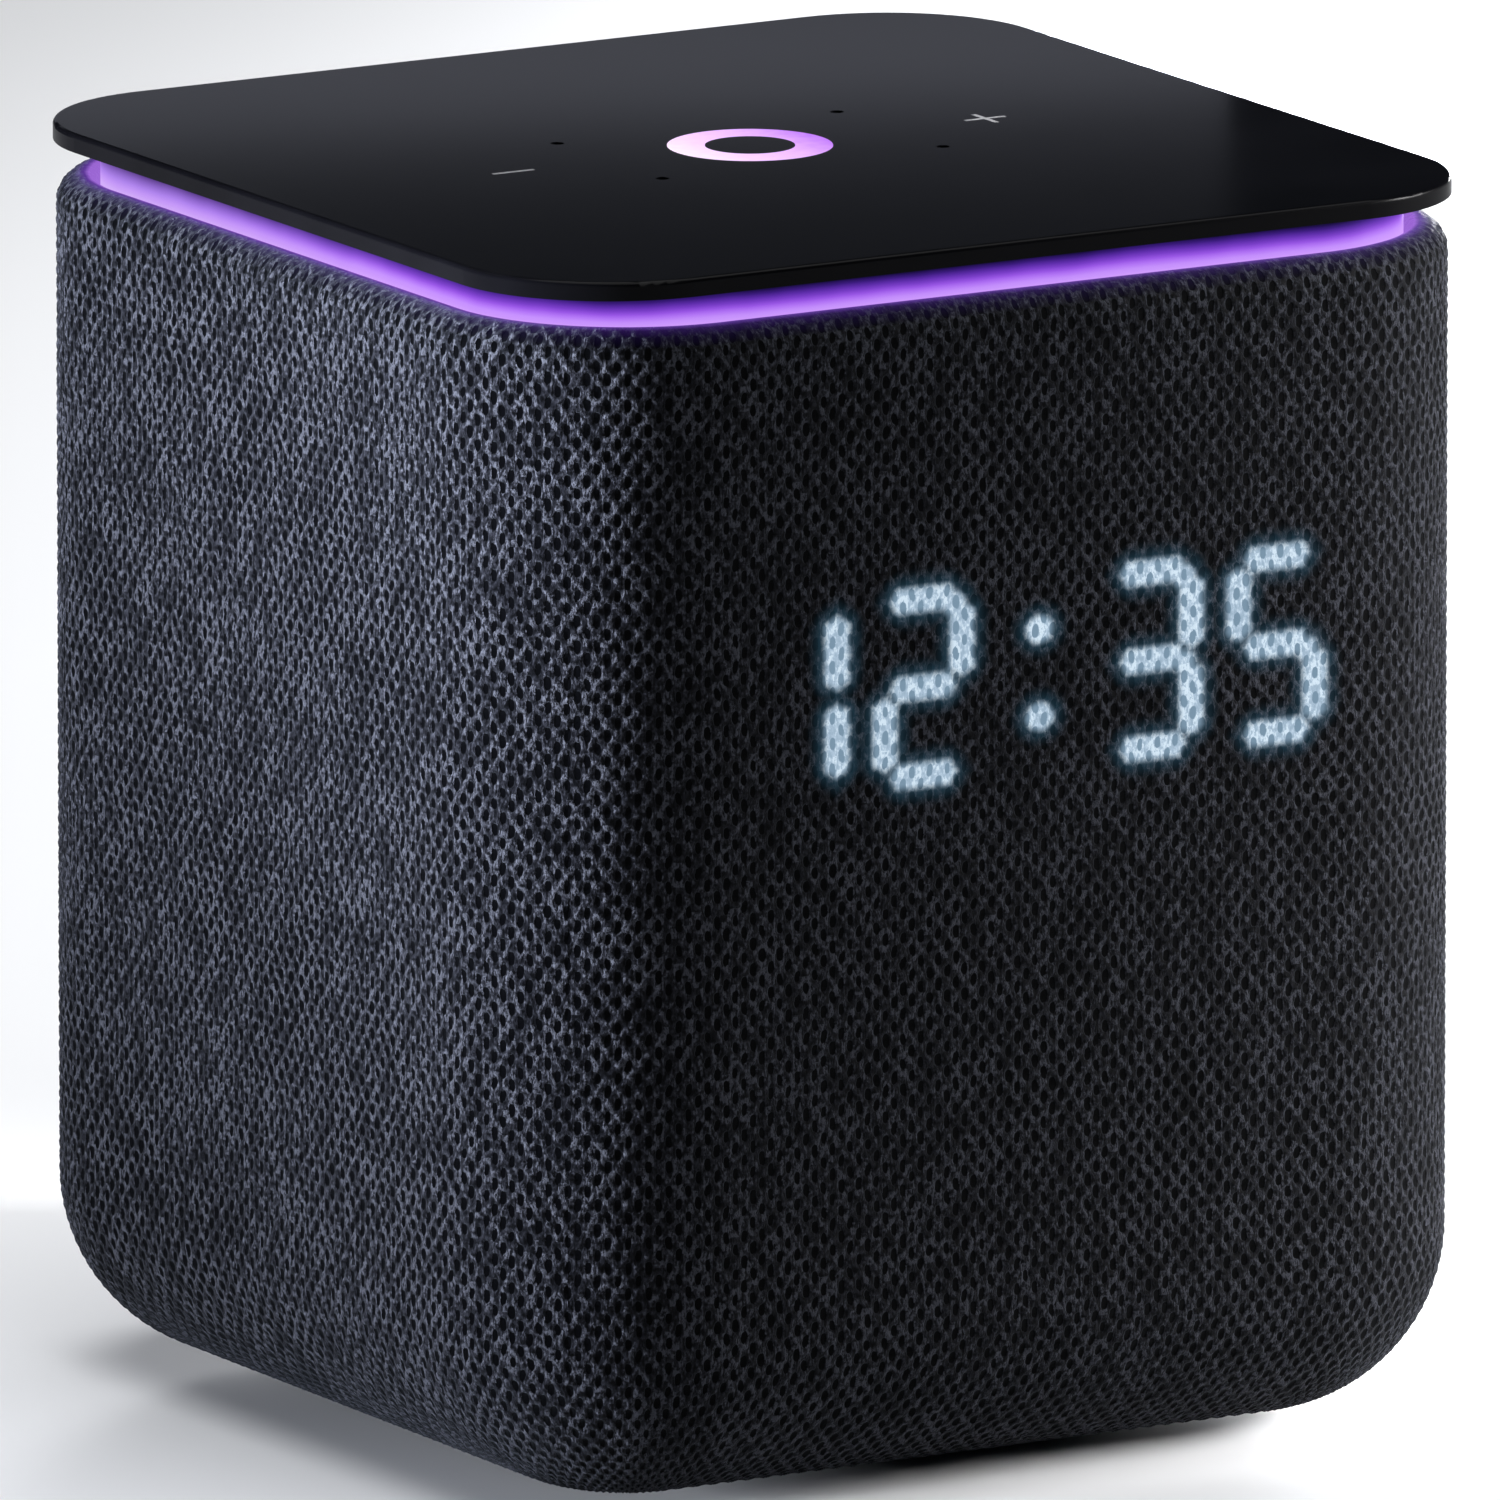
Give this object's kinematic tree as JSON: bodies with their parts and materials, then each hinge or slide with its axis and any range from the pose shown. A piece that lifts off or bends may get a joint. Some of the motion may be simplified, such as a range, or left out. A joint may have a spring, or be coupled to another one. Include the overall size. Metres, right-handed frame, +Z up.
{
  "type": "smart speaker",
  "caption": "Fabric-covered rounded cube speaker with a flat black touch panel, a violet light band under it and a clock shining through the front.",
  "frame": {"origin": "middle of the footprint, on the surface the rubber foot stands on", "axes": "+Z up through the middle of the touch panel, -Y out through the face with the clock, +X to the right when facing the clock"},
  "size_m": [0.12, 0.12, 0.134],
  "materials": {
    "panel_black": "satin black, screen-printed glass-like panel",
    "sign_grey": "printed grey signs",
    "ring_lens": "lit translucent lens, violet to pink",
    "circuit_board": "green solder mask",
    "tin": "plain bright sheet",
    "black_plastic": "fine moulded texture",
    "band_lens": "lit opal diffuser, violet",
    "white_board": "white solder mask",
    "led": "moulded lamp packages",
    "knit": "charcoal knitted mesh with a fine rhombic hole pattern",
    "display_lens": "translucent light sheet",
    "grey_plastic": "moulded, slightly glossy ribs",
    "dome_metal": "anodised dome",
    "rubber": "soft matt rubber",
    "aluminium": "extruded, satin",
    "chip": "moulded chip packages",
    "connector": "nylon",
    "antenna": "copper film",
    "ribbon": "flat cable",
    "lead_red": "wire insulation",
    "basket_paint": "powder coated",
    "brown_strip": "paper laminate",
    "steel": "zinc plated",
    "ferrite": "sintered, dark grey",
    "copper": "enamelled copper winding",
    "paper_cone": "coated paper",
    "spider_cloth": "resin-soaked cloth",
    "button_white": "satin light grey"
  },
  "bodies": {
    "housing": {"top_panel": "panel_black", "volume_marks": "sign_grey", "ring_light_pipe": "ring_lens", "ring_centre_cap": "panel_black", "touch_board": "circuit_board", "ring_light_board": "circuit_board", "microphones": "tin", "top_frame": "black_plastic", "band_light_guide": "band_lens", "band_led_board": "white_board", "band_leds": "led", "fabric_cover": "knit", "grille_shell": "black_plastic", "display_diffuser": "display_lens", "display_mask": "black_plastic", "display_board": "circuit_board", "display_leds": "led", "upper_chassis": "grey_plastic", "left_tweeter_body": "black_plastic", "right_tweeter_body": "black_plastic", "tweeter_suspensions": "rubber", "tweeter_gaskets": "rubber", "main_board": "circuit_board", "shield_can": "tin", "heat_sink": "aluminium", "power_capacitors": "black_plastic", "board_chips": "chip", "board_connectors": "connector", "antennas": "antenna", "flat_cables": "ribbon", "power_ribbon_cable": "black_plastic", "speaker_leads": "lead_red", "lead_grommet": "rubber", "enclosure_body": "grey_plastic", "enclosure_gasket": "rubber", "enclosure_lid": "grey_plastic", "woofer_gasket": "rubber", "woofer_basket": "basket_paint", "terminal_strip": "brown_strip", "woofer_top_plate": "steel", "woofer_magnet": "ferrite", "woofer_yoke": "steel", "cone_surround": "rubber", "spider": "spider_cloth", "rear_panel": "black_plastic", "dc_jack": "chip", "port_board": "circuit_board", "mute_switch": "tin", "button_spring": "steel", "base_cover": "black_plastic", "foot_ring": "rubber", "case_screws": "steel", "woofer_screws": "steel", "board_screws": "steel"},
    "woofer_piston": {"woofer_cone": "paper_cone", "dust_cap": "paper_cone", "voice_coil": "copper"},
    "left_tweeter_piston": {"left_tweeter_dome": "dome_metal"},
    "right_tweeter_piston": {"right_tweeter_dome": "dome_metal"},
    "mute_button": {"mute_button": "button_white"}
  },
  "joints": [
    {"name": "woofer_slide", "type": "slide", "parent": "housing", "child": "woofer_piston", "axis": [0, -1, 0], "range_m": [-0.003, 0.003], "stiffness_N_per_m": 400, "deforming": ["cone_surround", "spider"]},
    {"name": "left_tweeter_slide", "type": "slide", "parent": "housing", "child": "left_tweeter_piston", "axis": [-1, 0, 0], "range_m": [-0.0003, 0.0003], "stiffness_N_per_m": 60, "deforming": ["tweeter_suspensions"]},
    {"name": "right_tweeter_slide", "type": "slide", "parent": "housing", "child": "right_tweeter_piston", "axis": [1, 0, 0], "range_m": [-0.0003, 0.0003], "stiffness_N_per_m": 60, "deforming": ["tweeter_suspensions"]},
    {"name": "mute_button_press", "type": "slide", "parent": "housing", "child": "mute_button", "axis": [0, -1, 0], "range_m": [0, 0.0006], "stiffness_N_per_m": 600, "springref_m": -0.001, "deforming": ["button_spring"]}
  ]
}
